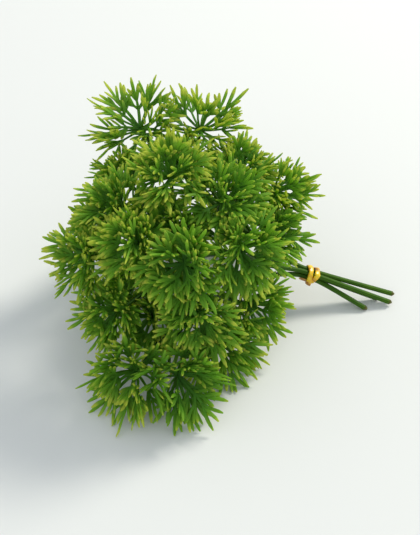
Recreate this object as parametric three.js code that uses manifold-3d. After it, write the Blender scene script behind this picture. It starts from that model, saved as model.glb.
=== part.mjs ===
// A small bunch of cut parsley: four branched stems held by an elastic band near their cut ends.
// Every stalk of a stem ends in a leaf spray, a whorl of flat three-lobed leaflets on a small hub.
// Millimetres, +Z up. The bunch lies on the plane z = 0 with its cut ends towards +X and its head
// towards -X, and its origin is the middle of its footprint.

import * as THREE from "three";
import { mergeVertices } from "three/addons/utils/BufferGeometryUtils.js";
import Module from "manifold-3d";

const wasm = await Module();
wasm.setup();

// Stems
const stemRadius = 1.15;
const stalkRadius = 0.75;
const stemSides = 6;
const stalkSides = 5;
const stemStep = 8; // length of one straight piece of a stem
const stalkStep = 7;
const arrival = 9; // how far before its spray a stem already points at it
const bendShare = 0.35; // how far a stalk keeps its first and last direction, as a share of its reach

// Leaf sprays
const hubRadius = 2;
const hubSides = 6;
const leafletsPerSpray = 8;
const leafletThickness = 0.8;
const leafletRoot = 1.2; // where a leaflet starts, inside its hub
const openness = [56, 74]; // degrees from the spray's facing, for even and odd leaflets
const petioleHalfWidth = 0.7;
const forkShare = 0.4; // where a leaflet forks, as a share of its reach
const lobes = [
  { angle: -34, length: 0.52 },
  { angle: 0, length: 0.6 },
  { angle: 34, length: 0.52 },
]; // degrees, and shares of the reach
const lobeHalfWidth = 0.065; // shares of the reach
const notchDistance = 0.16;
const shoulderShare = 0.6; // the widest point of a lobe, as a share of its length

// Room between pieces
const gap = 0.3; // between a stalk's end and the hub it carries
const leafClearance = 1.6; // least distance between the middle surfaces of two leaflets
const sampleSpacing = 0.9;
const sampleDepth = 0.7; // where a stem is sampled, as a share of its radius
const liftSteps = 75; // most degrees that a leaflet is lifted off the ground
const sharedRoom = 7; // nearer to their hub than this, leaflets of one spray may touch
const shrinkCost = 90; // how much worse a shorter leaflet is than one turned by a degree
const rollCost = 0.4; // and one rolled by a degree

// Elastic band, a closed loop wound twice round the bundle
const bandWidth = 2;
const bandThickness = 1;
const bandSpread = 2.2; // half the distance between its two turns
const bandCrossing = 4.2; // where the turns cross, in radians round the bundle
const bandSegments = 56;
const bandSides = 6;
const crossingStart = 1.45; // radians from the crossing where the outer turn begins to rise
const crossingRise = 0.7; // radians that it takes
const cornerSharpness = 3; // of the bundle's square outline
const ringRadius = 10; // of the plain ring that is bent into the band
const stemPitch = 1.3; // half the distance between stem centres inside the band
const heldStretch = [-4, 0, 5]; // along the bundle from the tied point, where the stems run straight

// The tied point of the bundle and the way it runs, from the cut ends to the head
const tiePoint = vector([46, 26, 14]);
const bundleAxis = vector([-34, 4, 11.5]).normalize();
const acrossBundle = new THREE.Vector3(-bundleAxis.y, bundleAxis.x, 0).normalize().negate();
const overBundle = new THREE.Vector3().crossVectors(acrossBundle, bundleAxis).normalize();

const leafMaterial = new THREE.MeshStandardMaterial({ color: 0x4c8a1c, roughness: 0.5, metalness: 0 });
const stemMaterial = new THREE.MeshStandardMaterial({ color: 0x3d7a22, roughness: 0.45, metalness: 0 });
const bandMaterial = new THREE.MeshStandardMaterial({ color: 0xe0a81a, roughness: 0.4, metalness: 0 });

// Each stem runs from its cut end through the band to its leading spray. side holds the stem's place
// in the band: across and over the bundle. stalks leave it at a share of its length.
const stems = [
  {
    name: "stem_back_upper",
    cutEnd: [84, 24.5, 3.6],
    side: [1, 1],
    through: [[24, 31, 27]],
    spray: { name: "crown_left", hub: [-31, 62, 69], facing: [-0.4, -0.25, 0.85], reach: 26, spin: 10 },
    stalks: [
      { at: 0.52, name: "crown_right", hub: [-4, 62, 68], facing: [0.15, 0.05, 0.95], reach: 25, spin: 40 },
      { at: 0.42, name: "right_upper", hub: [13, 44, 58], facing: [0.3, 0.1, 0.9], reach: 23, spin: 0 },
      { at: 0.34, name: "right_outer", hub: [28, 33, 55], facing: [0.45, -0.25, 0.85], reach: 22.5, spin: 15 },
      { at: 0.64, name: "rear_upper", hub: [-16, 66, 46], facing: [0, 0.9, 0.35], reach: 23, spin: 25 },
      { at: 0.46, name: "rear_right", hub: [6, 60, 36], facing: [0.25, 0.95, 0.1], reach: 23, spin: 5 },
      { at: 0.31, name: "rear_outer", hub: [19, 46, 35], facing: [0.6, 0.75, 0.05], reach: 20, spin: 35 },
    ],
  },
  {
    name: "stem_front_upper",
    cutEnd: [82.5, 20.5, 2],
    side: [-1, 1],
    through: [[20, 19, 27]],
    spray: { name: "top_left", hub: [-38, 16, 59], facing: [-0.55, -0.2, 0.8], reach: 24, spin: 20 },
    stalks: [
      { at: 0.62, name: "top", hub: [-16, 17, 75], facing: [-0.1, -0.3, 0.9], reach: 24, spin: 0 },
      { at: 0.46, name: "top_right", hub: [5, 10, 67], facing: [0.2, -0.3, 0.9], reach: 24, spin: 35 },
      { at: 0.4, name: "front_right", hub: [12, -8, 56], facing: [0.4, -0.75, 0.5], reach: 24, spin: 10 },
      { at: 0.54, name: "front_upper", hub: [-10, -18, 57], facing: [-0.05, -0.8, 0.55], reach: 24, spin: 50 },
      { at: 0.68, name: "front_left", hub: [-29, -8, 59], facing: [-0.45, -0.55, 0.7], reach: 23, spin: 15 },
      { at: 0.34, name: "middle_right", hub: [25, 12, 49], facing: [0.7, -0.3, 0.65], reach: 21, spin: 25 },
      { at: 0.58, name: "middle", hub: [-13, 2, 60], facing: [-0.2, -0.7, 0.7], reach: 20, spin: 0 },
    ],
  },
  {
    name: "stem_front_lower",
    cutEnd: [71, 17.2, 1.3],
    side: [-1, -1],
    through: [[26, 19, 19], [6, 4, 20], [-14, -9, 25]],
    spray: { name: "left", hub: [-49, 0, 45], facing: [-0.65, -0.5, 0.5], reach: 24, spin: 0 },
    stalks: [
      { at: 0.76, name: "left_lower", hub: [-38, -17, 32], facing: [-0.6, -0.65, 0.3], reach: 23, spin: 30 },
      { at: 0.62, name: "foot_left", hub: [-30, -37, 16], facing: [-0.3, -0.75, 0.4], reach: 26, spin: 10 },
      { at: 0.56, name: "foot", hub: [-13, -39, 16], facing: [0.1, -0.8, 0.4], reach: 26, spin: 40 },
      { at: 0.52, name: "inner_low", hub: [-25, -8, 20], facing: [-0.35, -0.75, 0.45], reach: 20, spin: 15 },
      { at: 0.48, name: "front_middle", hub: [-5, -26, 38], facing: [0.1, -0.9, 0.35], reach: 23, spin: 20 },
      { at: 0.4, name: "foot_right", hub: [3, -17, 14], facing: [0.4, -0.75, 0.1], reach: 24, spin: 0 },
      { at: 0.32, name: "right_lower", hub: [16, -5, 24], facing: [0.6, -0.7, 0.25], reach: 24, spin: 25 },
    ],
  },
  {
    name: "stem_back_lower",
    cutEnd: [77, 24, 1.3],
    side: [1, -1],
    through: [[24, 32, 18]],
    spray: { name: "rear_left", hub: [-46, 36, 34], facing: [-0.8, 0.5, 0.2], reach: 23, spin: 10 },
    stalks: [
      { at: 0.64, name: "rear", hub: [-24, 52, 24], facing: [-0.35, 0.85, 0.1], reach: 23, spin: 30 },
      { at: 0.46, name: "rear_foot", hub: [4, 50, 17], facing: [0.25, 0.9, 0], reach: 23, spin: 15 },
      { at: 0.7, name: "rear_shoulder", hub: [-36, 45, 53], facing: [-0.7, 0.5, 0.5], reach: 22, spin: 50 },
      { at: 0.6, name: "under_left", hub: [-34, 20, 13], facing: [-0.85, 0, -0.1], reach: 22, spin: 45 },
      { at: 0.5, name: "inner", hub: [-22, 12, 34], facing: [-0.6, -0.7, 0.1], reach: 20, spin: 20 },
      { at: 0.4, name: "under", hub: [-4, 24, 9], facing: [-0.5, 0.1, -0.3], reach: 20, spin: 5 },
    ],
  },
];

function vector(values) {
  return new THREE.Vector3(...values);
}

// Solids

function solidOf(geometry) {
  const bare = geometry.clone();
  bare.deleteAttribute("normal");
  bare.deleteAttribute("uv");
  const merged = mergeVertices(bare, 1e-4);
  const mesh = new wasm.Mesh({
    numProp: 3,
    vertProperties: merged.attributes.position.array,
    triVerts: new Uint32Array(merged.index.array),
  });
  return new wasm.Manifold(mesh);
}

function geometryOf(solid) {
  const mesh = solid.getMesh();
  const geometry = new THREE.BufferGeometry();
  geometry.setAttribute("position", new THREE.BufferAttribute(mesh.vertProperties, 3));
  geometry.setIndex(new THREE.BufferAttribute(mesh.triVerts, 1));
  geometry.computeVertexNormals();
  return geometry;
}

function joined(geometries) {
  return geometryOf(geometries.map(solidOf).reduce((whole, piece) => whole.add(piece)));
}

function named(name, geometry, material) {
  const mesh = new THREE.Mesh(geometry, material);
  mesh.name = name;
  return mesh;
}

// Stems

function tube(curve, radius, sides, step) {
  const section = new THREE.Shape();
  for (let i = 0; i < sides; i++) {
    const angle = (2 * Math.PI * i) / sides;
    const corner = [radius * Math.cos(angle), radius * Math.sin(angle)];
    if (i === 0) section.moveTo(...corner);
    else section.lineTo(...corner);
  }
  section.closePath();
  const steps = Math.max(3, Math.round(curve.getLength() / step));
  return new THREE.ExtrudeGeometry(section, { steps, extrudePath: curve, bevelEnabled: false });
}

// Where a stalk stops, just short of the hub that it carries.
function stalkEnd(spray) {
  const facing = vector(spray.facing).normalize();
  return vector(spray.hub).addScaledVector(facing, -(hubRadius + gap));
}

function placeInBand(side) {
  return tiePoint
    .clone()
    .addScaledVector(acrossBundle, side[0] * stemPitch)
    .addScaledVector(overBundle, side[1] * stemPitch);
}

function stemCurve(stem) {
  const held = placeInBand(stem.side);
  const end = stalkEnd(stem.spray);
  const facing = vector(stem.spray.facing).normalize();
  const points = [
    vector(stem.cutEnd),
    ...heldStretch.map((distance) => held.clone().addScaledVector(bundleAxis, distance)),
    ...stem.through.map(vector),
    end.clone().addScaledVector(facing, -arrival),
    end,
  ];
  return new THREE.CatmullRomCurve3(points, false, "centripetal");
}

// A stalk leaves its stem along the stem and turns to arrive at its spray from behind.
function stalkCurve(stem, stalk) {
  const start = stem.getPointAt(stalk.at);
  const end = stalkEnd(stalk);
  const reach = start.distanceTo(end);
  const leaving = start.clone().addScaledVector(stem.getTangentAt(stalk.at), bendShare * reach);
  const arriving = end.clone().addScaledVector(vector(stalk.facing).normalize(), -bendShare * reach);
  return new THREE.CubicBezierCurve3(start, leaving, arriving, end);
}

// Room: the points that finished pieces already take up, in cells of the least distance.

const cells = new Map();

function cellKey(x, y, z) {
  return (x + 500) * 1e6 + (y + 500) * 1e3 + (z + 500);
}

function cellOf(point) {
  return [point.x, point.y, point.z].map((value) => Math.floor(value / leafClearance));
}

function takeRoom(points, owner) {
  for (const point of points) {
    const key = cellKey(...cellOf(point));
    if (!cells.has(key)) cells.set(key, []);
    cells.get(key).push({ point, owner });
  }
}

function isClear(points, owner, hub) {
  for (const point of points) {
    if (point.distanceTo(hub) < hubRadius + gap) continue;
    const [x, y, z] = cellOf(point);
    for (let i = -1; i <= 1; i++)
      for (let j = -1; j <= 1; j++)
        for (let k = -1; k <= 1; k++)
          for (const taken of cells.get(cellKey(x + i, y + j, z + k)) ?? []) {
            if (taken.owner === owner && taken.point.distanceTo(hub) < sharedRoom) continue;
            if (taken.point.distanceTo(point) < leafClearance) return false;
          }
  }
  return true;
}

function surfaceSamples(curve, radius) {
  const count = Math.ceil(curve.getLength() / sampleSpacing);
  const frames = curve.computeFrenetFrames(count);
  const samples = [];
  for (let i = 0; i <= count; i++) {
    const centre = curve.getPointAt(i / count);
    for (let k = 0; k < 4; k++) {
      const angle = (Math.PI * k) / 2;
      samples.push(
        centre
          .clone()
          .addScaledVector(frames.normals[i], sampleDepth * radius * Math.cos(angle))
          .addScaledVector(frames.binormals[i], sampleDepth * radius * Math.sin(angle)),
      );
    }
  }
  return samples;
}

// Leaflets

// A lobe's own directions in the leaflet's plane, from the fork.
function lobeAxes(lobe) {
  const angle = THREE.MathUtils.degToRad(lobe.angle);
  return {
    along: new THREE.Vector2(Math.cos(angle), Math.sin(angle)),
    across: new THREE.Vector2(-Math.sin(angle), Math.cos(angle)),
  };
}

function inLobe(lobe, reach, alongShare, acrossShare) {
  const { along, across } = lobeAxes(lobe);
  return new THREE.Vector2(forkShare * reach, 0)
    .addScaledVector(along, alongShare * lobe.length * reach)
    .addScaledVector(across, acrossShare * reach);
}

function leafletOutline(reach) {
  const fork = forkShare * reach;
  const points = [
    new THREE.Vector2(leafletRoot, -petioleHalfWidth),
    new THREE.Vector2(fork, -petioleHalfWidth),
  ];
  lobes.forEach((lobe, i) => {
    points.push(inLobe(lobe, reach, shoulderShare, -lobeHalfWidth));
    points.push(inLobe(lobe, reach, 1, 0));
    points.push(inLobe(lobe, reach, shoulderShare, lobeHalfWidth));
    if (i < lobes.length - 1) {
      const between = (lobe.angle + lobes[i + 1].angle) / 2;
      points.push(inLobe({ angle: between, length: 1 }, reach, notchDistance, 0));
    }
  });
  points.push(new THREE.Vector2(fork, petioleHalfWidth));
  points.push(new THREE.Vector2(leafletRoot, petioleHalfWidth));
  return points;
}

function leafletGeometry(reach) {
  const outline = new THREE.Shape(leafletOutline(reach));
  const plate = new THREE.ExtrudeGeometry(outline, { depth: leafletThickness, bevelEnabled: false });
  return plate.translate(0, 0, -leafletThickness / 2);
}

// Points over a flat leaflet, close enough together to stand for it where room is measured.
function leafletSamples(reach) {
  const samples = [];
  for (let along = leafletRoot; along < forkShare * reach; along += sampleSpacing)
    samples.push(new THREE.Vector3(along, 0, 0));
  for (const lobe of lobes) {
    const steps = Math.ceil((lobe.length * reach) / sampleSpacing);
    for (let i = 0; i <= steps; i++)
      for (const edge of i === steps ? [0] : [-1, 0, 1]) {
        const point = inLobe(lobe, reach, i / steps, edge * lobeHalfWidth);
        samples.push(new THREE.Vector3(point.x, point.y, 0));
      }
  }
  return samples;
}

function leafletPlace(spray, index, change) {
  const facing = vector(spray.facing).normalize();
  const level = Math.abs(facing.z) < 0.9 ? new THREE.Vector3(0, 0, 1) : new THREE.Vector3(1, 0, 0);
  const first = new THREE.Vector3().crossVectors(facing, level).normalize();
  const second = new THREE.Vector3().crossVectors(facing, first);
  const turn = THREE.MathUtils.degToRad(spray.spin + (360 * index) / leafletsPerSpray + change.turn);
  const open = THREE.MathUtils.degToRad(openness[index % 2] + change.tilt);
  const outward = first.multiplyScalar(Math.cos(turn)).addScaledVector(second, Math.sin(turn));
  const along = facing.clone().multiplyScalar(Math.cos(open)).addScaledVector(outward, Math.sin(open));
  const across = new THREE.Vector3().crossVectors(facing, outward);
  across.applyAxisAngle(along, THREE.MathUtils.degToRad(change.roll));
  const through = new THREE.Vector3().crossVectors(along, across);
  return new THREE.Matrix4().makeBasis(along, across, through).setPosition(...spray.hub);
}

// A leaflet that would dip under the ground is lifted about its hub until it lies on it.
function laidOnGround(place, samples, hub) {
  const along = new THREE.Vector3().setFromMatrixColumn(place, 0);
  const hinge = new THREE.Vector3(along.y, -along.x, 0).normalize();
  const lift = new THREE.Matrix4()
    .makeTranslation(...hub)
    .multiply(new THREE.Matrix4().makeRotationAxis(hinge, THREE.MathUtils.degToRad(1)))
    .multiply(new THREE.Matrix4().makeTranslation(...hub.map((value) => -value)));
  const lifted = place.clone();
  for (let i = 0; i < liftSteps; i++) {
    const lowest = Math.min(...samples.map((point) => point.clone().applyMatrix4(lifted).z));
    if (lowest > leafletThickness / 2) return lifted;
    lifted.premultiply(lift);
  }
  return null;
}

// Ways to move a leaflet from its even place in the whorl, the smallest move first.
const changes = [];
for (const size of [1, 0.88, 0.76])
  for (const tilt of [0, -8, 8, -16, 16, -24, 24, -34, -44])
    for (const turn of [0, -8, 8, -16, 16, -24, 24])
      for (const roll of [12, -12, 35, -35, 60, -60])
        changes.push({ size, tilt, turn, roll });
function effort(change) {
  const turned = Math.abs(change.tilt) + Math.abs(change.turn) + rollCost * Math.abs(change.roll);
  return shrinkCost * (1 - change.size) + turned;
}
changes.sort((a, b) => effort(a) - effort(b));

function fittedLeaflet(spray, index) {
  const hub = vector(spray.hub);
  for (const change of changes) {
    const reach = spray.reach * change.size;
    const flat = leafletSamples(reach);
    const place = laidOnGround(leafletPlace(spray, index, change), flat, spray.hub);
    if (!place) continue;
    const samples = flat.map((point) => point.clone().applyMatrix4(place));
    if (!isClear(samples, spray.name, hub)) continue;
    takeRoom(samples, spray.name);
    return leafletGeometry(reach).applyMatrix4(place);
  }
  return null;
}

function hubGeometry(spray) {
  const profile = [
    new THREE.Vector2(0, -hubRadius),
    new THREE.Vector2(hubRadius, 0),
    new THREE.Vector2(0, hubRadius),
  ];
  const bead = new THREE.LatheGeometry(profile, hubSides);
  const upright = new THREE.Vector3(0, 1, 0);
  const facing = vector(spray.facing).normalize();
  bead.applyQuaternion(new THREE.Quaternion().setFromUnitVectors(upright, facing));
  return bead.translate(...spray.hub);
}

function sprayMesh(spray) {
  const leaflets = [];
  for (let i = 0; i < leafletsPerSpray; i++) {
    const leaflet = fittedLeaflet(spray, i);
    if (leaflet) leaflets.push(leaflet);
  }
  return named(`spray_${spray.name}`, joined([hubGeometry(spray), ...leaflets]), leafMaterial);
}

// Elastic band

// The bundle's outline in the band, a square with round corners, at an angle round it.
function bundleOutline(angle, distance) {
  const corner = (value) => stemPitch * Math.tanh(cornerSharpness * value);
  return new THREE.Vector2(
    corner(Math.cos(angle)) + distance * Math.cos(angle),
    corner(Math.sin(angle)) + distance * Math.sin(angle),
  );
}

// The radius that lifts the outer turn over the inner one where they cross.
function crossingLift(loopAngle) {
  const fromCrossing = Math.abs(loopAngle - Math.PI);
  const share = THREE.MathUtils.smoothstep(crossingStart - fromCrossing, 0, crossingRise);
  return share * (bandThickness + gap);
}

function bandGeometry() {
  const ring = new THREE.TorusGeometry(ringRadius, 1, bandSides, bandSegments);
  const position = ring.attributes.position;
  for (let i = 0; i < position.count; i++) {
    const point = new THREE.Vector3().fromBufferAttribute(position, i);
    const halfAngle = (Math.atan2(point.y, point.x) + 2 * Math.PI) % (2 * Math.PI);
    const loopAngle = 2 * halfAngle;
    const outward = Math.hypot(point.x, point.y) - ringRadius;
    const inner = stemRadius + gap + bandThickness / 2;
    const distance = inner + crossingLift(loopAngle) + (outward * bandThickness) / 2;
    const around = bundleOutline(loopAngle - Math.PI + bandCrossing, distance);
    const along = bandSpread * Math.cos(halfAngle) - (point.z * bandWidth) / 2;
    const placed = tiePoint
      .clone()
      .addScaledVector(acrossBundle, around.x)
      .addScaledVector(overBundle, around.y)
      .addScaledVector(bundleAxis, along);
    position.setXYZ(i, placed.x, placed.y, placed.z);
  }
  return ring;
}

// The whole bunch

const bunch = new THREE.Group();

const grown = stems.map((stem) => {
  const curve = stemCurve(stem);
  const stalks = stem.stalks.map((stalk) => stalkCurve(curve, stalk));
  takeRoom(surfaceSamples(curve, stemRadius), stem.name);
  stalks.forEach((stalk) => takeRoom(surfaceSamples(stalk, stalkRadius), stem.name));
  return { curve, stalks };
});

stems.forEach((stem, i) => {
  const pieces = [
    tube(grown[i].curve, stemRadius, stemSides, stemStep),
    ...grown[i].stalks.map((stalk) => tube(stalk, stalkRadius, stalkSides, stalkStep)),
  ];
  bunch.add(named(stem.name, joined(pieces), stemMaterial));
});

for (const stem of stems) for (const spray of [stem.spray, ...stem.stalks]) bunch.add(sprayMesh(spray));

bunch.add(named("tie_band", geometryOf(solidOf(bandGeometry())), bandMaterial));

// The origin is the middle of the footprint, on the ground.
const box = new THREE.Box3().setFromObject(bunch);
const middle = box.getCenter(new THREE.Vector3());
bunch.position.set(-middle.x, -middle.y, -box.min.z);

export default bunch;
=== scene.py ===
import math
import random

import bpy
import numpy as np
from mathutils import Matrix, Vector


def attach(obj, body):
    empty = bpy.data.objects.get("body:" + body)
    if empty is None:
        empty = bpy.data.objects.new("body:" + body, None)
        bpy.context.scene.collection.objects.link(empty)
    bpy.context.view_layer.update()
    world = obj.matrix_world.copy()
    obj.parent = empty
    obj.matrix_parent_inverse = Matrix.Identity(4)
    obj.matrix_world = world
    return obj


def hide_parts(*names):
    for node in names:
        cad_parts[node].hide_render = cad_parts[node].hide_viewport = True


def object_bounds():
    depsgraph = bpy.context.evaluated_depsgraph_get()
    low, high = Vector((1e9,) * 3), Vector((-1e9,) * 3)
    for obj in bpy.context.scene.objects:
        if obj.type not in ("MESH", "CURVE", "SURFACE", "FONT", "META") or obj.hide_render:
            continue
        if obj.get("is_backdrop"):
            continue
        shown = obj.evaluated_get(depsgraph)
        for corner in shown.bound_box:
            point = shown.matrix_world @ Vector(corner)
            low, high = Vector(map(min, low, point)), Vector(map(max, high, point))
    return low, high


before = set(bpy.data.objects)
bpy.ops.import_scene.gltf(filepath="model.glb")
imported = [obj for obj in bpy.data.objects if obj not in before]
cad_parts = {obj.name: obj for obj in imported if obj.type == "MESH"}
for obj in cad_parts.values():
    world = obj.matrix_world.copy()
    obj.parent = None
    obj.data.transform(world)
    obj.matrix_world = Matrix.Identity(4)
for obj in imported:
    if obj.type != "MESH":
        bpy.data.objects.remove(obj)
cadLow, cadHigh = (Vector(corner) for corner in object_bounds())
scene = bpy.context.scene
mm = 0.001


# Camera: looks down on the lying bunch from the front, cut ends to the right
cameraSettings = {
    "lens": 70,
    "sensor": 36,
    "elevation": 40,  # degrees above the floor
    "distance": 437 * mm,
    "aim": (-0.045, -0.093, 0.424),  # shares of the object's size, from the middle of its footprint
}


def makeCamera(settings):
    size = cadHigh - cadLow
    foot = Vector(((cadLow.x + cadHigh.x) / 2, (cadLow.y + cadHigh.y) / 2, cadLow.z))
    aim = foot + Vector(share * side for share, side in zip(settings["aim"], size))
    elevation = math.radians(settings["elevation"])
    away = Vector((0, -math.cos(elevation), math.sin(elevation)))
    data = bpy.data.cameras.new("camera")
    data.lens = settings["lens"]
    data.sensor_width = settings["sensor"]
    data.clip_start = 0.01
    camera = bpy.data.objects.new("camera", data)
    camera.location = aim + away * settings["distance"]
    camera.rotation_euler = (-away).to_track_quat("-Z", "Y").to_euler()
    scene.collection.objects.link(camera)
    scene.camera = camera


makeCamera(cameraSettings)
print("camera set")


# Small helpers for node trees


def addNode(tree, kind, values=None, **settings):
    node = tree.nodes.new(kind)
    for name, value in settings.items():
        setattr(node, name, value)
    for socket, value in (values or {}).items():
        node.inputs[socket].default_value = value
    return node


def newMaterial(name):
    material = bpy.data.materials.new(name)
    material.use_nodes = True
    material.node_tree.nodes.clear()
    return material, material.node_tree


def ramp(tree, stops):
    node = addNode(tree, "ShaderNodeValToRGB")
    elements = node.color_ramp.elements
    while len(elements) < len(stops):
        elements.new(0.5)
    for element, (place, colour) in zip(elements, stops):
        element.position = place
        element.color = (*colour, 1)
    return node


def mathNode(tree, operation, first, second, clamp=False):
    node = addNode(tree, "ShaderNodeMath", operation=operation, use_clamp=clamp)
    for socket, value in zip(node.inputs, (first, second)):
        if isinstance(value, (int, float)):
            socket.default_value = value
        else:
            tree.links.new(value, socket)
    return node.outputs[0]


def noise(tree, scale, detail=3, vector=None):
    node = addNode(tree, "ShaderNodeTexNoise", {"Scale": scale, "Detail": detail})
    if vector is None:
        vector = addNode(tree, "ShaderNodeTexCoord").outputs["Object"]
    tree.links.new(vector, node.inputs["Vector"])
    return node.outputs["Fac"]


def attribute(tree, name):
    return addNode(tree, "ShaderNodeAttribute", attribute_name=name).outputs["Fac"]


def bump(tree, height, strength, distance):
    node = addNode(tree, "ShaderNodeBump", {"Strength": strength, "Distance": distance})
    tree.links.new(height, node.inputs["Height"])
    return node.outputs["Normal"]


# Leaf: green, darkened towards the hub by painted shade and turned yellow-green at the finger tips by painted
# light
leafFinish = {
    # from painted shade at the hub to painted light at the finger tips
    "shadedHubToLitTips": [
        (0.0, (0.056, 0.205, 0.026)),
        (0.35, (0.094, 0.310, 0.028)),
        (0.66, (0.160, 0.430, 0.034)),
        (0.90, (0.300, 0.570, 0.050)),
        (1.0, (0.700, 0.780, 0.110)),
    ],
    "throughLight": (0.52, 0.66, 0.03),
    "throughShare": 0.52,
    "roughness": (0.42, 0.60),
    "toneSpread": 0.34,
    "mottle": 0.22,
    "shift": 0.26,  # towards the hub's colour, all over
    "veinDepth": 0.12 * mm,
}


def makeLeafMaterial(finish):
    material, tree = newMaterial("parsleyLeaf")
    links = tree.links
    # tone holds random variation plus painted light: lighter for higher and free-standing sprays
    tone = mathNode(tree, "MULTIPLY", attribute(tree, "tone"), finish["toneSpread"])
    mottle = mathNode(tree, "MULTIPLY", noise(tree, 260), finish["mottle"])
    place = mathNode(tree, "ADD", attribute(tree, "reachShare"), tone)
    place = mathNode(tree, "ADD", place, mottle)
    place = mathNode(tree, "SUBTRACT", place, finish["shift"], clamp=True)
    # painted shade near the hub and painted light at the tips, along each leaflet
    colour = ramp(tree, finish["shadedHubToLitTips"])
    links.new(place, colour.inputs["Fac"])
    grain = noise(tree, 1900, detail=4)
    rough = addNode(tree, "ShaderNodeMapRange")
    rough.inputs["To Min"].default_value, rough.inputs["To Max"].default_value = finish["roughness"]
    links.new(grain, rough.inputs["Value"])
    vein = mathNode(tree, "ABSOLUTE", attribute(tree, "across"), 0)
    vein = mathNode(tree, "POWER", vein, 0.6)
    height = mathNode(tree, "ADD", vein, mathNode(tree, "MULTIPLY", grain, 0.5))
    normal = bump(tree, height, 0.5, finish["veinDepth"])
    surface = addNode(tree, "ShaderNodeBsdfPrincipled")
    surface.inputs["IOR"].default_value = 1.42
    surface.inputs["Specular IOR Level"].default_value = 0.28
    links.new(colour.outputs["Color"], surface.inputs["Base Color"])
    links.new(rough.outputs["Result"], surface.inputs["Roughness"])
    links.new(normal, surface.inputs["Normal"])
    lit = addNode(tree, "ShaderNodeMix", data_type="RGBA", blend_type="MIX")
    lit.inputs["Factor"].default_value = 0.5
    lit.inputs["B"].default_value = (*finish["throughLight"], 1)
    links.new(colour.outputs["Color"], lit.inputs["A"])
    through = addNode(tree, "ShaderNodeBsdfTranslucent")
    links.new(lit.outputs["Result"], through.inputs["Color"])
    links.new(normal, through.inputs["Normal"])
    blend = addNode(tree, "ShaderNodeMixShader", {"Fac": finish["throughShare"]})
    links.new(surface.outputs[0], blend.inputs[1])
    links.new(through.outputs[0], blend.inputs[2])
    links.new(blend.outputs[0], addNode(tree, "ShaderNodeOutputMaterial").inputs["Surface"])
    return material


# Stem: mid green with paler ribs, browned where it was cut
stemFinish = {
    "lengthwise": [
        (0.0, (0.012, 0.050, 0.002)),
        (0.5, (0.034, 0.110, 0.003)),
        (1.0, (0.110, 0.210, 0.008)),
    ],
    "cutFace": [
        (0.0, (0.33, 0.36, 0.13)),
        (0.6, (0.20, 0.22, 0.06)),
        (1.0, (0.10, 0.085, 0.02)),
    ],
    "roughness": (0.38, 0.54),
    "ribCount": 9,
    "ribShade": 0.18,
    "cloudShade": 0.9,
    "toneShade": 0.2,
    "shift": 0.05,  # towards the darkest green, all over
    "ribDepth": 0.08 * mm,
}


def makeStemMaterial(finish):
    material, tree = newMaterial("parsleyStem")
    links = tree.links
    around = attribute(tree, "across")
    ribs = mathNode(tree, "SINE", mathNode(tree, "MULTIPLY", around, finish["ribCount"] * 2 * math.pi), 0)
    ribs = mathNode(tree, "MULTIPLY", ribs, finish["ribShade"])
    cloud = mathNode(tree, "MULTIPLY", noise(tree, 90, detail=5), finish["cloudShade"])
    tone = mathNode(tree, "MULTIPLY", attribute(tree, "tone"), finish["toneShade"])
    place = mathNode(tree, "ADD", mathNode(tree, "ADD", cloud, ribs), tone)
    place = mathNode(tree, "SUBTRACT", place, finish["shift"], clamp=True)
    side = ramp(tree, finish["lengthwise"])
    links.new(place, side.inputs["Fac"])
    cut = ramp(tree, finish["cutFace"])
    links.new(attribute(tree, "cutRadius"), cut.inputs["Fac"])
    colour = addNode(tree, "ShaderNodeMix", data_type="RGBA", blend_type="MIX")
    links.new(attribute(tree, "cutShare"), colour.inputs["Factor"])
    links.new(side.outputs["Color"], colour.inputs["A"])
    links.new(cut.outputs["Color"], colour.inputs["B"])
    grain = noise(tree, 1400, detail=4)
    rough = addNode(tree, "ShaderNodeMapRange")
    rough.inputs["To Min"].default_value, rough.inputs["To Max"].default_value = finish["roughness"]
    links.new(grain, rough.inputs["Value"])
    height = mathNode(tree, "ADD", ribs, mathNode(tree, "MULTIPLY", grain, 0.3))
    surface = addNode(tree, "ShaderNodeBsdfPrincipled")
    surface.inputs["IOR"].default_value = 1.42
    surface.inputs["Specular IOR Level"].default_value = 0.2
    links.new(colour.outputs["Result"], surface.inputs["Base Color"])
    links.new(rough.outputs["Result"], surface.inputs["Roughness"])
    links.new(bump(tree, height, 0.6, finish["ribDepth"]), surface.inputs["Normal"])
    links.new(surface.outputs[0], addNode(tree, "ShaderNodeOutputMaterial").inputs["Surface"])
    return material


# Tie: glossy yellow elastic, turned orange-brown away from its near side by painted shade
tieFinish = {
    "yellow": [
        (0.30, (0.42, 0.17, 0.005)),
        (0.44, (0.86, 0.48, 0.006)),
        (0.60, (0.96, 0.66, 0.008)),
        (0.80, (1.0, 0.78, 0.020)),
    ],
    "roughness": (0.20, 0.38),
    "tieShadeDepth": 0.24,
    "grainDepth": 0.05 * mm,
}


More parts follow.
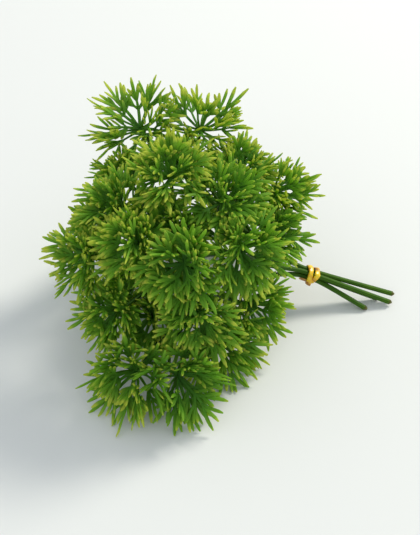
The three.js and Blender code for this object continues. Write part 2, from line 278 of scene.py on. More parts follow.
def makeTieMaterial(finish):
    material, tree = newMaterial("yellowElastic")
    links = tree.links
    colour = ramp(tree, finish["yellow"])
    # painted shade: darker and more orange away from the near side of the band
    paintedTieShade = mathNode(tree, "MULTIPLY", attribute(tree, "tone"), finish["tieShadeDepth"])
    links.new(mathNode(tree, "SUBTRACT", noise(tree, 420, detail=4), paintedTieShade), colour.inputs["Fac"])
    grain = noise(tree, 1500, detail=5)
    rough = addNode(tree, "ShaderNodeMapRange")
    rough.inputs["To Min"].default_value, rough.inputs["To Max"].default_value = finish["roughness"]
    links.new(grain, rough.inputs["Value"])
    surface = addNode(tree, "ShaderNodeBsdfPrincipled")
    surface.inputs["IOR"].default_value = 1.5
    surface.inputs["Coat Weight"].default_value = 0.2
    surface.inputs["Coat Roughness"].default_value = 0.15
    links.new(colour.outputs["Color"], surface.inputs["Base Color"])
    links.new(rough.outputs["Result"], surface.inputs["Roughness"])
    links.new(bump(tree, grain, 0.5, finish["grainDepth"]), surface.inputs["Normal"])
    links.new(surface.outputs[0], addNode(tree, "ShaderNodeOutputMaterial").inputs["Surface"])
    return material


leafMaterial = makeLeafMaterial(leafFinish)
stemMaterial = makeStemMaterial(stemFinish)
tieMaterial = makeTieMaterial(tieFinish)
print("finishes made")


# Strands: every leaf finger, stalk and band is a section carried along a path by one node tree.
# A path's points hold the half width, the way its upper face looks, and values for the finish.
pointValues = ("halfWidth", "reachShare", "tone", "cutShare", "cutRadius")


def makeStrandTree():
    tree = bpy.data.node_groups.new("strandSweep", "GeometryNodeTree")
    sockets = {}
    for name, kind, value in (
        ("Paths", "NodeSocketGeometry", None),
        ("Section", "NodeSocketObject", None),
        ("Width", "NodeSocketFloat", 1.0),
        ("Thickness", "NodeSocketFloat", 1.0),
        ("Waver", "NodeSocketFloat", 0.0),
        ("Waver Scale", "NodeSocketFloat", 90.0),
        ("Seed", "NodeSocketFloat", 0.0),
        ("Ground", "NodeSocketFloat", 0.0),
        ("Finish", "NodeSocketMaterial", None),
    ):
        item = tree.interface.new_socket(name, in_out="INPUT", socket_type=kind)
        if value is not None:
            item.default_value = value
        sockets[name] = item.identifier
    tree.interface.new_socket("Strands", in_out="OUTPUT", socket_type="NodeSocketGeometry")
    given = tree.nodes.new("NodeGroupInput")
    result = tree.nodes.new("NodeGroupOutput")
    links = tree.links

    curves = addNode(tree, "GeometryNodeMeshToCurve")
    links.new(given.outputs["Paths"], curves.inputs["Mesh"])

    # a gentle waver, the same for all paths that start at one point
    position = addNode(tree, "GeometryNodeInputPosition")
    waver = addNode(tree, "ShaderNodeTexNoise", {"Detail": 1.0}, noise_dimensions="4D")
    links.new(position.outputs[0], waver.inputs["Vector"])
    links.new(given.outputs["Waver Scale"], waver.inputs["Scale"])
    links.new(given.outputs["Seed"], waver.inputs["W"])
    centred = addNode(tree, "ShaderNodeVectorMath", operation="SUBTRACT")
    centred.inputs[1].default_value = (0.5, 0.5, 0.5)
    links.new(waver.outputs["Color"], centred.inputs[0])
    sized = addNode(tree, "ShaderNodeVectorMath", operation="SCALE")
    links.new(centred.outputs[0], sized.inputs[0])
    links.new(given.outputs["Waver"], sized.inputs["Scale"])
    moved = addNode(tree, "ShaderNodeVectorMath", operation="ADD")
    links.new(position.outputs[0], moved.inputs[0])
    links.new(sized.outputs[0], moved.inputs[1])
    split = addNode(tree, "ShaderNodeSeparateXYZ")
    links.new(moved.outputs[0], split.inputs[0])
    above = addNode(tree, "ShaderNodeMath", operation="MAXIMUM")
    links.new(split.outputs["Z"], above.inputs[0])
    links.new(given.outputs["Ground"], above.inputs[1])
    joint = addNode(tree, "ShaderNodeCombineXYZ")
    links.new(split.outputs["X"], joint.inputs["X"])
    links.new(split.outputs["Y"], joint.inputs["Y"])
    links.new(above.outputs[0], joint.inputs["Z"])
    placed = addNode(tree, "GeometryNodeSetPosition")
    links.new(curves.outputs[0], placed.inputs["Geometry"])
    links.new(joint.outputs[0], placed.inputs["Position"])

    facing = addNode(tree, "GeometryNodeInputNamedAttribute", {"Name": "upper"}, data_type="FLOAT_VECTOR")
    turned = addNode(tree, "GeometryNodeSetCurveNormal", mode="FREE")
    links.new(placed.outputs[0], turned.inputs["Curve"])
    links.new(facing.outputs["Attribute"], turned.inputs["Normal"])

    half = addNode(tree, "GeometryNodeInputNamedAttribute", {"Name": "halfWidth"}, data_type="FLOAT")
    wide = addNode(tree, "ShaderNodeMath", operation="MULTIPLY")
    links.new(half.outputs["Attribute"], wide.inputs[0])
    links.new(given.outputs["Width"], wide.inputs[1])

    section = addNode(tree, "GeometryNodeObjectInfo")
    links.new(given.outputs["Section"], section.inputs["Object"])
    outline = addNode(tree, "GeometryNodeMeshToCurve")
    links.new(section.outputs["Geometry"], outline.inputs["Mesh"])
    flat = addNode(tree, "ShaderNodeCombineXYZ", {"Y": 1.0, "Z": 1.0})
    links.new(given.outputs["Thickness"], flat.inputs["X"])
    flattened = addNode(tree, "GeometryNodeTransform")
    links.new(outline.outputs[0], flattened.inputs["Geometry"])
    links.new(flat.outputs[0], flattened.inputs["Scale"])

    swept = addNode(tree, "GeometryNodeCurveToMesh", {"Fill Caps": True})
    links.new(turned.outputs[0], swept.inputs["Curve"])
    links.new(flattened.outputs[0], swept.inputs["Profile Curve"])
    links.new(wide.outputs[0], swept.inputs["Scale"])
    smooth = addNode(tree, "GeometryNodeSetShadeSmooth")
    links.new(swept.outputs[0], smooth.inputs["Geometry"])
    real = addNode(tree, "GeometryNodeRealizeInstances")
    links.new(smooth.outputs[0], real.inputs[0])
    finished = addNode(tree, "GeometryNodeSetMaterial")
    links.new(real.outputs[0], finished.inputs["Geometry"])
    links.new(given.outputs["Finish"], finished.inputs["Material"])
    links.new(finished.outputs[0], result.inputs["Strands"])
    return tree, sockets


strandTree, strandSockets = makeStrandTree()
sections = []


def makeSection(name, outline):
    # outline: (towards the upper face, across), with a value across for the finish
    mesh = bpy.data.meshes.new(name)
    count = len(outline)
    edges = [(i, (i + 1) % count) for i in range(count)]
    mesh.from_pydata([(point[0], point[1], 0) for point in outline], edges, [])
    across = mesh.attributes.new("across", "FLOAT", "POINT")
    across.data.foreach_set("value", [point[2] for point in outline])
    section = bpy.data.objects.new(name, mesh)
    scene.collection.objects.link(section)
    sections.append(section)
    return section


def roundSection(name, sides, ribs=0, ribHeight=0.0):
    outline = []
    for i in range(sides):
        angle = 2 * math.pi * i / sides
        radius = 1 + ribHeight * math.cos(ribs * angle)
        outline.append((radius * math.cos(angle), radius * math.sin(angle), i / sides))
    return makeSection(name, outline)


class Paths:
    # collects the points of many paths, each a list of dictionaries, as one mesh of edges
    def __init__(self):
        self.points = []
        self.edges = []

    def add(self, path, closed=False):
        first = len(self.points)
        self.points.extend(path)
        self.edges.extend((first + i, first + i + 1) for i in range(len(path) - 1))
        if closed:
            self.edges.append((first + len(path) - 1, first))

    def sweep(self, name, section, material, thickness=1.0, waver=0.0, seed=0.0, ground=0.0):
        mesh = bpy.data.meshes.new(name + "Paths")
        mesh.from_pydata([point["place"] for point in self.points], self.edges, [])
        upper = mesh.attributes.new("upper", "FLOAT_VECTOR", "POINT")
        upper.data.foreach_set("vector", [value for point in self.points for value in point["upper"]])
        for key in pointValues:
            layer = mesh.attributes.new(key, "FLOAT", "POINT")
            layer.data.foreach_set("value", [point.get(key, 0.0) for point in self.points])
        carrier = bpy.data.objects.new(name + "Paths", mesh)
        scene.collection.objects.link(carrier)
        modifier = carrier.modifiers.new("strands", "NODES")
        modifier.node_group = strandTree
        for key, value in (
            ("Section", section), ("Thickness", thickness), ("Waver", waver), ("Seed", seed),
            ("Ground", ground), ("Finish", material),
        ):
            modifier[strandSockets[key]] = value
        depsgraph = bpy.context.evaluated_depsgraph_get()
        solid = bpy.data.meshes.new_from_object(carrier.evaluated_get(depsgraph))
        solid.name = name
        piece = bpy.data.objects.new(name, solid)
        scene.collection.objects.link(piece)
        bpy.data.objects.remove(carrier)
        return piece


# Leaf sprays: whorls of leaflets, each divided into narrow fingers
leafSettings = {
    "forkShare": 0.40,  # where a leaflet forks, as a share of its reach
    "lobeAngles": (-36, 0, 36),
    "lobeStalk": (0.13, 0.18, 0.13),
    "middleFingers": ((-25, 0.35), (2, 0.43), (27, 0.35)),  # angle and length
    "sideFingers": ((34, 0.31), (9, 0.38), (-17, 0.33)),
    "lowFingers": (0.29, 54, 0.28),  # place along the leaflet, angle and length
    # leaflets between those of the construction model:
    # how many, degrees from the spray's facing, share of the reach
    "innerWhorls": ((5, 80, 0.86), (6, 58, 0.80), (4, 34, 0.86)),
    "stalkHalfWidth": 0.80 * mm,
    "fingerHalfWidth": 0.79 * mm,
    "fingerPoints": 6,
    "stalkPoints": 4,
    "angleSpread": 10.0,
    "pitchSpread": 15.0,
    "lengthSpread": 0.26,
    "rollSpread": 35,  # degrees a finger's face is turned by, at its tip
    "reachSpread": (0.88, 1.06),
    "cupSpread": (-12, 20),  # degrees a leaflet's fingers bend up
    "toneSpread": 0.15,
    "fingerToneSpread": 0.2,
    "lowFingerChance": 0.7,
    "sprayToneAndLight": (0.36, 0.28, 0.18),  # at the ground, gain up to the top as painted light, and random spread
    "droop": 5.5,  # metres down for each square metre of distance from the hub
    # sprays that stand free of the others: open, with longer fingers, made yellower by painted backlight
    "openSprays": ("spray_crown_left", "spray_crown_right", "spray_right_outer", "spray_rear_outer"),
    "openWhorls": ((5, 66, 0.96), (3, 34, 0.92)),
    "openReach": 1.03,
    "openBacklight": 0.28,
    "openDroop": 0.35,
    "waver": 2.0 * mm,
    "ground": 0.75 * mm,
}

leafSection = makeSection("leafSection", [
    (0.10, -1.0, -1.0),
    (0.52, -0.60, -0.5),
    (0.30, 0.0, 0.0),
    (0.52, 0.60, 0.5),
    (0.10, 1.0, 1.0),
    (-0.60, 0.0, 0.0),
])

# How a spray's hub and leaflets are told apart in the construction model
modelSettings = {
    "weldGrid": 2 * mm / 1000,
    "hubRadius": 2.5 * mm,
    "bladeStart": 7.5 * mm,  # farther from the hub than this, leaflets don't touch
    "bladePoints": 12,  # a whole leaflet has at least this many corners out there
}


def mergedMesh(node):
    # the points and faces of a frame node, with the points of touching faces joined
    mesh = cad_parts[node].data
    places = np.empty(len(mesh.vertices) * 3)
    mesh.vertices.foreach_get("co", places)
    corners = np.empty(len(mesh.loops), int)
    mesh.loops.foreach_get("vertex_index", corners)
    step = modelSettings["weldGrid"]
    grid = np.round(places.reshape(-1, 3) / step).astype(np.int64)
    unique, which = np.unique(grid, axis=0, return_inverse=True)
    return unique * step, which.reshape(-1)[corners].reshape(-1, 3)


def groupsOf(count, faces, keep):
    # the connected groups of the kept points
    parent = list(range(count))

    def root(i):
        while parent[i] != i:
            parent[i] = parent[parent[i]]
            i = parent[i]
        return i

    for face in faces:
        for a, b in ((0, 1), (1, 2), (2, 0)):
            if keep[face[a]] and keep[face[b]]:
                parent[root(face[a])] = root(face[b])
    groups = {}
    for i in range(count):
        if keep[i]:
            groups.setdefault(root(i), []).append(i)
    return list(groups.values())


def readSpray(node):
    # finds a spray's hub and the frame and reach of each of its leaflets from the construction model
    points, faces = mergedMesh(node)
    gaps = np.linalg.norm(points[:, None] - points[None], axis=2)
    nearby = gaps < modelSettings["hubRadius"]
    hub = points[nearby[np.argmax(nearby.sum(1))]].mean(0)
    keep = np.linalg.norm(points - hub, axis=1) > modelSettings["bladeStart"]
    plates = []
    for group in groupsOf(len(points), faces, keep):
        if len(group) < modelSettings["bladePoints"]:
            continue
        place = points[group]
        centre = place.mean(0)
        normal = np.linalg.svd(place - centre)[2][2]
        plates.append((place, centre, normal))
    normals = np.array([plate[2] for plate in plates])
    heights = np.array([plate[1] @ plate[2] for plate in plates])
    hub = hub + np.linalg.lstsq(normals, heights - normals @ hub, rcond=0.1)[0]
    leaflets = []
    for place, centre, normal in plates:
        far = np.linalg.norm(place - hub, axis=1)
        tip = place[np.argsort(far)[-2:]].mean(0) - hub
        leaflets.append({"reach": np.linalg.norm(tip), "along": tip / np.linalg.norm(tip), "upper": normal})
    facing = sum(leaflet["along"] for leaflet in leaflets)
    facing = facing / np.linalg.norm(facing)
    for leaflet in leaflets:
        if leaflet["upper"] @ facing < 0:
            leaflet["upper"] = -leaflet["upper"]
        leaflet["across"] = np.cross(leaflet["upper"], leaflet["along"])
    return Vector(hub), Vector(facing), leaflets


def growStrand(start, heading, pitch, length, turn, rise, count):
    # a path in a leaflet's own axes that bends by turn and rise, in radians, along its length
    places = [start]
    ways = []
    for i in range(count - 1):
        share = (i + 0.5) / (count - 1)
        way = Vector((
            math.cos(pitch + rise * share) * math.cos(heading + turn * share),
            math.cos(pitch + rise * share) * math.sin(heading + turn * share),
            math.sin(pitch + rise * share),
        ))
        ways.append(way)
        places.append(places[-1] + way * (length / (count - 1)))
    ways.append(ways[-1])
    return places, ways, heading + turn, pitch + rise


def fingerWidth(share):
    # narrow at the base, widest two thirds along, with a rounded point
    body = 0.72 + 0.28 * math.sin(math.pi * min(share / 0.7, 1) / 2)
    return body * math.sqrt(max(1 - max((share - 0.6) / 0.4, 0) ** 3, 0.17))


def growLeaflet(paths, hub, leaflet, settings, chance, sprayToneAndLight):
    axes = Matrix((leaflet["along"], leaflet["across"], leaflet["upper"])).transposed()
    reach = leaflet["reach"] * chance.uniform(*settings["reachSpread"])
    cup = math.radians(chance.uniform(*settings["cupSpread"]))
    leafTone = sprayToneAndLight + chance.uniform(-settings["toneSpread"], settings["toneSpread"])

    def put(places, ways, halfWidths, shares, roll, tone):
        path = []
        for place, way, half, share in zip(places, ways, halfWidths, shares):
            face = Vector((0, 0, 1)) - way * way.z
            face.normalize()
            face.rotate(Matrix.Rotation(roll * share, 3, way))
            drop = Vector((0, 0, settings["droop"] * place.length_squared))
            path.append({
                "place": hub + axes @ place - drop,
                "upper": axes @ face,
                "halfWidth": half,
                "reachShare": share,
                "tone": min(max(tone, 0), 1),
            })
        paths.add(path)

    def addStalk(start, heading, pitch, length, shares, halfWidths, turn=0.0, rise=0.0):
        count = settings["stalkPoints"]
        grown = growStrand(start, heading, pitch, length, turn, rise, count)
        steps = [i / (count - 1) for i in range(count)]
        widths = [halfWidths[0] + (halfWidths[1] - halfWidths[0]) * step for step in steps]
        along = [shares[0] + (shares[1] - shares[0]) * step for step in steps]
        put(grown[0], grown[1], widths, along, 0, leafTone)
        return grown

    def addFinger(start, heading, pitch, length, firstShare):
        count = settings["fingerPoints"]
        size = 1 + chance.uniform(-1, 1) * settings["lengthSpread"]
        heading += math.radians(chance.uniform(-1, 1) * settings["angleSpread"])
        pitch += math.radians(chance.uniform(-1, 1) * settings["pitchSpread"])
        turn = -0.22 * heading + math.radians(chance.uniform(-9, 9))
        rise = cup + math.radians(chance.uniform(-14, 14))
        places, ways = growStrand(start, heading, pitch, length * reach * size, turn, rise, count)[:2]
        steps = [i / (count - 1) for i in range(count)]
        half = settings["fingerHalfWidth"] * (0.9 + 0.2 * chance.random())
        widths = [half * fingerWidth(step) for step in steps]
        along = [firstShare + (1 - firstShare) * step for step in steps]
        roll = math.radians(chance.uniform(-settings["rollSpread"], settings["rollSpread"]))
        tone = leafTone + chance.uniform(-settings["fingerToneSpread"], settings["fingerToneSpread"])
        put(places, ways, widths, along, roll, tone)

    stalkHalf = settings["stalkHalfWidth"]
    fork = settings["forkShare"]
    stalk, _, heading, pitch = addStalk(
        Vector((0, 0, 0)), 0.0, -0.12, fork * reach, (0.0, 0.36), (stalkHalf, 0.86 * stalkHalf), rise=0.24)
    lowPlace, lowAngle, lowLength = settings["lowFingers"]
    for side in (-1, 1):
        if chance.random() < settings["lowFingerChance"]:
            step = min(int(lowPlace / fork * (len(stalk) - 1)) + 1, len(stalk) - 1)
            angle = side * math.radians(lowAngle + chance.uniform(-8, 8))
            addFinger(stalk[step], angle, pitch, lowLength, 0.4)
    for lobe, lobeAngle in enumerate(settings["lobeAngles"]):
        side = (lobeAngle > 0) - (lobeAngle < 0)
        away = math.radians(lobeAngle + chance.uniform(-4, 4))
        lift = pitch + math.radians(chance.uniform(-9, 9))
        stem = addStalk(stalk[-1], heading + away, lift, settings["lobeStalk"][lobe] * reach,
                        (0.36, 0.5), (0.84 * stalkHalf, 0.72 * stalkHalf))
        fingers = settings["sideFingers"] if side else settings["middleFingers"]
        for angle, length in fingers:
            turnOut = math.radians(angle * (side or 1))
            addFinger(stem[0][-1], stem[2] + turnOut, stem[3], length, 0.5)


def innerLeaflets(hub, facing, leaflets, whorls, chance):
    # more leaflets inside the whorl, so that a spray is a full dome
    reach = sum(leaflet["reach"] for leaflet in leaflets) / len(leaflets)
    first = facing.orthogonal().normalized()
    second = facing.cross(first)
    inner = []
    for count, openness, share in whorls:
        start = chance.uniform(0, 2 * math.pi)
        for i in range(count):
            turn = start + 2 * math.pi * (i + chance.uniform(-0.4, 0.4)) / count
            away = math.radians(openness + chance.uniform(-15, 13))
            outward = first * math.cos(turn) + second * math.sin(turn)
            along = facing * math.cos(away) + outward * math.sin(away)
            upper = facing * math.sin(away) - outward * math.cos(away)
            upper.rotate(Matrix.Rotation(math.radians(chance.uniform(-40, 40)), 3, along))
            length = reach * share * chance.uniform(0.80, 1.14)
            if hub.z + along.z * length > 1.5 * mm:
                inner.append({"reach": length, "along": along, "upper": upper, "across": upper.cross(along)})
    return inner


def makeSpray(node, number, settings):
    chance = random.Random(100 + number)
    hub, facing, leaflets = readSpray(node)
    paths = Paths()
    height = (hub.z - cadLow.z) / (cadHigh.z - cadLow.z)
    lowTone, heightLightGain, spread = settings["sprayToneAndLight"]
    # higher sprays are made lighter: painted light falling from above, plus random tone
    sprayToneAndLight = lowTone + heightLightGain * height + chance.uniform(-spread, spread)
    whorls = settings["innerWhorls"]
    if node in settings["openSprays"]:
        settings = {**settings, "droop": settings["openDroop"] * settings["droop"]}
        whorls = settings["openWhorls"]
        # free-standing sprays lighter and yellower: painted backlight
        sprayToneAndLight += settings["openBacklight"]
        for leaflet in leaflets:
            leaflet["reach"] *= settings["openReach"]
    leaflets = leaflets + innerLeaflets(hub, facing, leaflets, whorls, chance)
    for leaflet in leaflets:
        growLeaflet(paths, hub, leaflet, settings, chance, sprayToneAndLight)
    piece = paths.sweep("fine_" + node, leafSection, leafMaterial, waver=settings["waver"],
                        seed=float(number), ground=settings["ground"])
    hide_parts(node)
    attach(piece, "root")
    return hub, facing


sprayNodes = sorted(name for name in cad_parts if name.startswith("spray_"))
sprayHubs = {node: makeSpray(node, number, leafSettings) for number, node in enumerate(sprayNodes)}
print(len(sprayHubs), "leaf sprays grown")


# Stems: four branched stems through the tie, every stalk ending in a spray's hub.
# Places are in the bunch's own plan, in mm, as in the construction model.
stemSettings = {
    "planPoint": ("spray_top", (-16, 17, 75)),  # one hub's place in the plan, which sets the plan's origin
    "tiePoint": (46, 26, 14),
    "bundleWay": (-34, 4, 11.5),
    "pitch": 1.3,
    "heldStretch": (-4, 0, 5),
    "hubSetBack": 2.3,
    "stemHalfWidth": (1.15, 0.92),
    "stalkHalfWidth": (0.80, 0.66),
    "stemStep": 1.2,
    "stalkStep": 1.1,
    "stalkPoints": 40,
    "bendShare": 0.35,  # how far a stalk keeps its first and last direction, as a share of its reach
    "arrival": 9,  # how far before its spray a stem already points at it
    "intoHub": 0.3,
    "cutRings": ((0.06, 0.10, 1), (0.45, 0.09, 1), (0.86, 0.0, 1), (1.0, 0.12, 1), (1.0, 0.8, 0.25)),
}

stemPlans = {
    "stem_back_upper": {
        "cutEnd": (84, 24.5, 3.6), "side": (1, 1), "through": [(24, 31, 27)], "leads": "spray_crown_left",
        "stalks": {"spray_crown_right": 0.52, "spray_right_upper": 0.42, "spray_right_outer": 0.34,
                   "spray_rear_upper": 0.64, "spray_rear_right": 0.46, "spray_rear_outer": 0.31},
    },
    "stem_front_upper": {
        "cutEnd": (82.5, 20.5, 2), "side": (-1, 1), "through": [(20, 19, 27)], "leads": "spray_top_left",
        "stalks": {"spray_top": 0.62, "spray_top_right": 0.46, "spray_front_right": 0.4,
                   "spray_front_upper": 0.54, "spray_front_left": 0.68, "spray_middle_right": 0.34,
                   "spray_middle": 0.58},
    },
    "stem_front_lower": {
        "cutEnd": (71, 17.2, 1.3), "side": (-1, -1), "through": [(26, 19, 19), (6, 4, 20), (-14, -9, 25)],
        "leads": "spray_left",
        "stalks": {"spray_left_lower": 0.76, "spray_foot_left": 0.62, "spray_foot": 0.56,
                   "spray_inner_low": 0.52, "spray_front_middle": 0.48, "spray_foot_right": 0.4,
                   "spray_right_lower": 0.32},
    },
    "stem_back_lower": {
        "cutEnd": (77, 24, 1.3), "side": (1, -1), "through": [(24, 32, 18)], "leads": "spray_rear_left",
        "stalks": {"spray_rear": 0.64, "spray_rear_foot": 0.46, "spray_rear_shoulder": 0.7,
                   "spray_under_left": 0.6, "spray_inner": 0.5, "spray_under": 0.4},
    },
}

stemSection = roundSection("stemSection", 20, ribs=9, ribHeight=0.035)
stalkSection = roundSection("stalkSection", 12, ribs=5, ribHeight=0.04)


class Bundle:
    # the plan's origin in the frame, and the bundle's own directions at the tie
    def __init__(self, settings):
        node, place = settings["planPoint"]
        self.origin = sprayHubs[node][0] - Vector(place) * mm
        self.along = Vector(settings["bundleWay"]).normalized()
        self.across = Vector((self.along.y, -self.along.x, 0)).normalized()
        self.over = self.across.cross(self.along).normalized()
        self.tie = self.place(settings["tiePoint"])

    def place(self, point):
        return self.origin + Vector(point) * mm


bundle = Bundle(stemSettings)


def smoothRoute(points, perStretch=40):
    # a curve through all points, even where they are unevenly spaced
    ends = [2 * points[0] - points[1], *points, 2 * points[-1] - points[-2]]
    route = []
    for before, first, second, after in zip(ends, ends[1:], ends[2:], ends[3:]):
        gaps = [math.sqrt((b - a).length) for a, b in ((before, first), (first, second), (second, after))]
        between = (second - first) / gaps[1]
        leave = (first - before) / gaps[0] - (second - before) / (gaps[0] + gaps[1]) + between
        arrive = between - (after - first) / (gaps[1] + gaps[2]) + (after - second) / gaps[2]
        leave, arrive = leave * gaps[1], arrive * gaps[1]
        for i in range(perStretch):
            t = i / perStretch
            route.append(first + leave * t + (3 * (second - first) - 2 * leave - arrive) * t * t
                         + (2 * (first - second) + leave + arrive) * t ** 3)
    return route + [points[-1]]


def evenRoute(route, step):
    # the same route with points at an even distance, and the way it runs at each
    lengths = np.concatenate(([0], np.cumsum([(b - a).length for a, b in zip(route, route[1:])])))
    count = max(4, round(lengths[-1] / step) + 1)
    wanted = np.linspace(0, lengths[-1], count)
    table = np.array(route)
    columns = [np.interp(wanted, lengths, table[:, i]) for i in range(3)]
    places = [Vector(place) for place in zip(*columns)]
    ways = [(places[min(i + 1, count - 1)] - places[max(i - 1, 0)]).normalized() for i in range(count)]
    return places, ways


def steadyUpper(ways):
    # an upper direction carried along a route without twisting
    upper = Vector((0, 0, 1)) if abs(ways[0].z) < 0.9 else Vector((1, 0, 0))
    uppers = []
    for way in ways:
        upper = (upper - way * upper.dot(way)).normalized()
        uppers.append(upper)
    return uppers


def addStem(paths, route, step, halfWidths, tone, cut=False):
    places, ways = evenRoute(route, step)
    uppers = steadyUpper(ways)
    last = len(places) - 1
    path = []
    for i, (place, upper) in enumerate(zip(places, uppers)):
        share = i / last
        half = halfWidths[0] + (halfWidths[1] - halfWidths[0]) * share
        path.append({
            "place": place,
            "upper": upper,
            "halfWidth": half * mm,
            "reachShare": share,
            "tone": tone,
        })
    if cut:
        path = cutFace(path[0], ways[0]) + path[1:]
    paths.add(path)


def cutFace(first, way):
    # rings that close the cut end with a crisp edge and a slightly sunk pith
    rings = []
    for radius, depth, browned in stemSettings["cutRings"]:
        ring = dict(first)
        ring["place"] = first["place"] + way * depth * mm
        ring["halfWidth"] = first["halfWidth"] * radius
        ring["cutShare"] = browned
        ring["cutRadius"] = radius
        rings.append(ring)
    return rings


def routeToHub(node, settings):
    hub, facing = sprayHubs[node]
    return hub, facing, hub - facing * settings["hubSetBack"] * mm


def makeStem(node, number, settings):
    plan = stemPlans[node]
    chance = random.Random(500 + number)
    hub, facing, end = routeToHub(plan["leads"], settings)
    side = bundle.across * plan["side"][0] + bundle.over * plan["side"][1]
    held = bundle.tie + side * settings["pitch"] * mm
    points = [bundle.place(plan["cutEnd"])]
    points += [held + bundle.along * distance * mm for distance in settings["heldStretch"]]
    points += [bundle.place(point) for point in plan["through"]]
    points += [end - facing * settings["arrival"] * mm, end, hub + facing * settings["intoHub"] * mm]
    stemPaths, stalkPaths = Paths(), Paths()
    route = smoothRoute(points)
    addStem(stemPaths, route, settings["stemStep"] * mm, settings["stemHalfWidth"], chance.random(), cut=True)
    places, ways = evenRoute(route, 0.5 * mm)
    for target, at in plan["stalks"].items():
        hub, facing, end = routeToHub(target, settings)
        i = round(at * (len(places) - 1))
        start = places[i]
        reach = (end - start).length
        leaving = start + ways[i] * settings["bendShare"] * reach
        arriving = end - facing * settings["bendShare"] * reach
        stalk = []
        for step in range(settings["stalkPoints"] + 1):
            t = step / settings["stalkPoints"]
            stalk.append(start * (1 - t) ** 3 + leaving * 3 * t * (1 - t) ** 2
                         + arriving * 3 * t * t * (1 - t) + end * t ** 3)
        stalk.append(hub + facing * settings["intoHub"] * mm)
        addStem(stalkPaths, stalk, settings["stalkStep"] * mm, settings["stalkHalfWidth"], chance.random())
    pieces = [
        stemPaths.sweep("fine_" + node, stemSection, stemMaterial),
        stalkPaths.sweep("fine_" + node + "_stalks", stalkSection, stemMaterial),
    ]
    for piece in pieces:
        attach(piece, "root")
        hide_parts(node)


for number, node in enumerate(stemPlans):
    makeStem(node, number, stemSettings)
print(len(stemPlans), "branched stems swept")


# Tie: an elastic loop wound twice round the bundle, crossing itself on the near side
tieSettings = {
    "width": 2.4,
    "thickness": 1.2,
    "spread": 1.8,  # half the distance between the turns
    "crossing": 4.2,  # where the turns cross, in radians round the bundle
    "bulge": 0.7,  # how far the near side sags towards the cut ends
    "near": 2.44,  # the side the bulge is on, in radians round the bundle
    "steps": 150,
    "squash": 0.08,  # how deep it presses into the stems
    "crossingStart": 1.5,  # radians from the crossing where the outer turn begins to rise
    "crossingRise": 0.8,
    "crossingHeight": 0.95,  # share of the thickness
    "cornerSharpness": 3,  # of the bundle's square outline
    "uneven": ((3, 0.16), (7, 0.112)),  # waves in one half loop, and mm along the bundle
    "swell": ((5, 0.10), (11, 0.06)),
    "tilt": (4, 0.25),
    "looseEnd": {"angle": 3.75, "along": 2.6, "length": 3.6, "breadth": 2.0, "halfWidth": 0.6, "steps": 28},
}


def softSquare(sides, height, squareness):
    # a closed outline between a circle and a square
    outline = []
    for i in range(sides):
        upward, across = (
            math.copysign(abs(value) ** squareness, value)
            for value in (math.cos(2 * math.pi * i / sides), math.sin(2 * math.pi * i / sides))
        )
        outline.append((height * upward, across, i / sides))
    return outline


tieSection = makeSection("tieSection", softSquare(14, 0.86, 0.75))


def looseEnd(settings, radius):
    # the small loop that sticks out from under the turns
    outward = bundle.across * math.cos(settings["angle"]) + bundle.over * math.sin(settings["angle"])
    around = bundle.along.cross(outward)
    middle = outward * radius + bundle.along * settings["along"]
    path = []
    for i in range(settings["steps"]):
        turn = 2 * math.pi * i / settings["steps"]
        offset = bundle.along * math.cos(turn) * settings["length"] / 2
        offset += around * math.sin(turn) * settings["breadth"] / 2
        path.append({
            "place": bundle.tie + (middle + offset) * mm,
            "upper": outward,
            "halfWidth": settings["halfWidth"] * mm,
            # the loose loop gets the full painted shade
            "tone": 1.0,
        })
    return path


def makeTie(settings):
    half = settings["width"] / 2
    thickness = settings["thickness"]
    chance = random.Random(77)
    phases = [chance.uniform(0, 2 * math.pi) for _ in range(4)]
    inner = stemSettings["stemHalfWidth"][0] + thickness / 2 - settings["squash"]
    pitch = stemSettings["pitch"]
    sharpness = settings["cornerSharpness"]
    (slow, slowSize), (fast, fastSize) = settings["uneven"]
    (wide, wideSize), (tight, tightSize) = settings["swell"]
    leans, leanSize = settings["tilt"]
    path = []
    for i in range(settings["steps"]):
        halfAngle = 2 * math.pi * i / settings["steps"]
        loopAngle = 2 * halfAngle
        fromCrossing = abs(loopAngle - math.pi)
        lift = min(max((settings["crossingStart"] - fromCrossing) / settings["crossingRise"], 0), 1)
        lift = lift * lift * (3 - 2 * lift) * thickness * settings["crossingHeight"]
        angle = loopAngle - math.pi + settings["crossing"]
        outward = bundle.across * math.cos(angle) + bundle.over * math.sin(angle)
        corner = bundle.across * math.tanh(sharpness * math.cos(angle)) * pitch
        corner += bundle.over * math.tanh(sharpness * math.sin(angle)) * pitch
        uneven = slowSize * math.sin(slow * halfAngle + phases[0])
        uneven += fastSize * math.sin(fast * halfAngle + phases[1])
        sag = settings["bulge"] * math.cos(angle - settings["near"])
        along = settings["spread"] * math.cos(halfAngle) + uneven - sag
        swell = 1 + wideSize * math.sin(wide * halfAngle + phases[2])
        swell += tightSize * math.sin(tight * halfAngle + phases[3])
        place = bundle.tie + (corner + outward * (inner + lift) + bundle.along * along) * mm
        tilt = leanSize * math.sin(leans * halfAngle + phases[1])
        path.append({
            "place": place,
            "upper": (outward * math.cos(tilt) + bundle.along * math.sin(tilt)).normalized(),
            "halfWidth": half * swell * mm,
            # painted shade: none on the near side, most on the far side
            "tone": 0.5 - 0.5 * math.cos(angle - settings["near"]),
        })
    paths = Paths()
    paths.add(path, closed=True)
    paths.add(looseEnd(settings["looseEnd"], inner + corner.length), closed=True)
    piece = paths.sweep("elastic_tie", tieSection, tieMaterial, thickness=thickness / settings["width"])
    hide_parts("tie_band")
    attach(piece, "root")


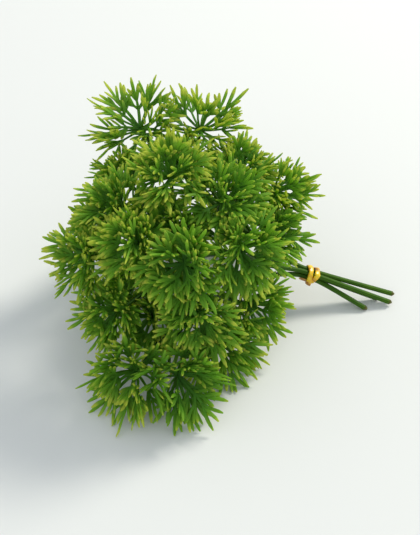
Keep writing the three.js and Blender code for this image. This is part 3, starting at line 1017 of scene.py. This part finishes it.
makeTie(tieSettings)
for section in sections:
    bpy.data.objects.remove(section)
print("tie wound")


# Floor and light
stageSettings = {
    "floorSize": 3.0,
    "floorColour": (0.76, 0.775, 0.775),
    "world": (0.92, 0.97, 1.0),
    "worldStrength": 0.71,
    "floorRoughness": 0.85,
    "lightAim": (0, 0, 0.03),
    "keyLight": {"place": (1.35, 1.2, 1.45), "size": 0.6, "power": 42, "colour": (1.0, 0.96, 0.84)},
    "fillLight": {"place": (-0.5, -0.9, 0.7), "size": 0.9, "power": 1.5, "colour": (1.0, 1.0, 0.96)},
}


def makeFloor(settings):
    half = settings["floorSize"] / 2
    mesh = bpy.data.meshes.new("floor")
    corners = [(-half, -half, 0), (half, -half, 0), (half, half, 0), (-half, half, 0)]
    mesh.from_pydata(corners, [], [(0, 1, 2, 3)])
    floor = bpy.data.objects.new("floor", mesh)
    scene.collection.objects.link(floor)
    material, tree = newMaterial("paleFloor")
    surface = addNode(tree, "ShaderNodeBsdfPrincipled", {
        "Base Color": (*settings["floorColour"], 1),
        "Roughness": settings["floorRoughness"],
    })
    tree.links.new(surface.outputs[0], addNode(tree, "ShaderNodeOutputMaterial").inputs["Surface"])
    mesh.materials.append(material)
    floor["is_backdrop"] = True


def makeLight(name, settings):
    lamp = settings[name]
    data = bpy.data.lights.new(name, "AREA")
    data.size = lamp["size"]
    data.energy = lamp["power"]
    data.color = lamp["colour"]
    light = bpy.data.objects.new(name, data)
    light.location = lamp["place"]
    towards = Vector(settings["lightAim"]) - Vector(lamp["place"])
    light.rotation_euler = towards.to_track_quat("-Z", "Y").to_euler()
    scene.collection.objects.link(light)


def makeWorld(settings):
    world = bpy.data.worlds.new("world")
    world.use_nodes = True
    background = world.node_tree.nodes["Background"]
    background.inputs["Color"].default_value = (*settings["world"], 1)
    background.inputs["Strength"].default_value = settings["worldStrength"]
    scene.world = world


makeFloor(stageSettings)
makeWorld(stageSettings)
makeLight("keyLight", stageSettings)
makeLight("fillLight", stageSettings)
scene.view_settings.view_transform = "Standard"
print("floor and lights set")
